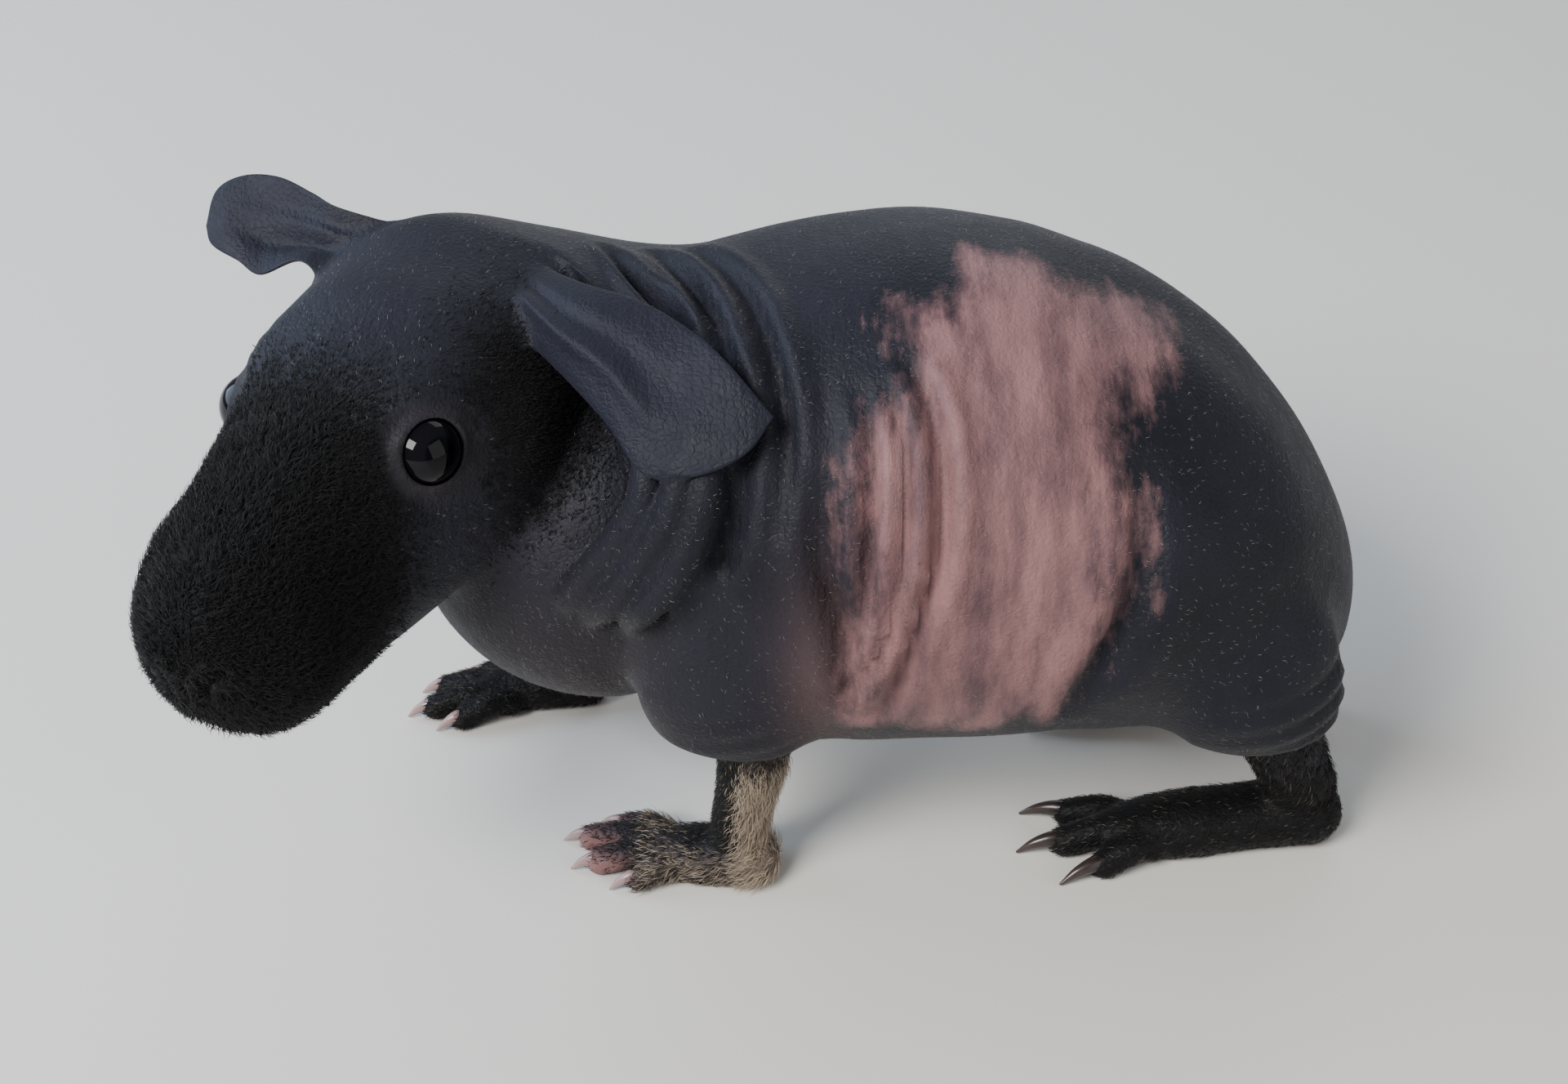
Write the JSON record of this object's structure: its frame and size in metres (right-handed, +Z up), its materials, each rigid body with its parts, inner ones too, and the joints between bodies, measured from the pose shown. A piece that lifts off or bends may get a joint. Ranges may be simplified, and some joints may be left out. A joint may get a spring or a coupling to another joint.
{
  "type": "skinny pig",
  "caption": "Young hairless guinea pig standing on its feet with its head turned to the left, a still life-size animal model.",
  "frame": {"origin": "centre of the model's box on the floor it stands on", "axes": "+X from the nose end to the rump along the trunk, +Y towards the animal's right, +Z up"},
  "size_m": [0.1584, 0.0865, 0.0874],
  "materials": {
    "skin": "bare, finely wrinkled slate-grey skin with a pink patch on the flank",
    "short_fur": "short flat black fur, with pale hair on the near forearm",
    "eye": "wet black gloss",
    "fore_claw": "smooth pinkish horn",
    "hind_claw": "smooth brown-black horn"
  },
  "bodies": {
    "root": {"ear_left": "skin", "ear_right": "skin", "eye_left": "eye", "eye_right": "eye", "forearm_left": "short_fur", "forearm_right": "short_fur", "forefoot_left": "short_fur", "forefoot_left_claw_1": "fore_claw", "forefoot_left_claw_2": "fore_claw", "forefoot_left_claw_3": "fore_claw", "forefoot_left_claw_4": "fore_claw", "forefoot_right": "short_fur", "forefoot_right_claw_1": "fore_claw", "forefoot_right_claw_2": "fore_claw", "forefoot_right_claw_3": "fore_claw", "forefoot_right_claw_4": "fore_claw", "head": "skin", "hindfoot_left": "short_fur", "hindfoot_left_claw_1": "hind_claw", "hindfoot_left_claw_2": "hind_claw", "hindfoot_left_claw_3": "hind_claw", "hindfoot_right": "short_fur", "hindfoot_right_claw_1": "hind_claw", "hindfoot_right_claw_2": "hind_claw", "hindfoot_right_claw_3": "hind_claw", "neck": "skin", "shank_left": "short_fur", "shank_right": "short_fur", "thigh_left": "skin", "thigh_right": "skin", "torso": "skin", "upper_arm_left": "skin", "upper_arm_right": "skin"}
  },
  "joints": []
}
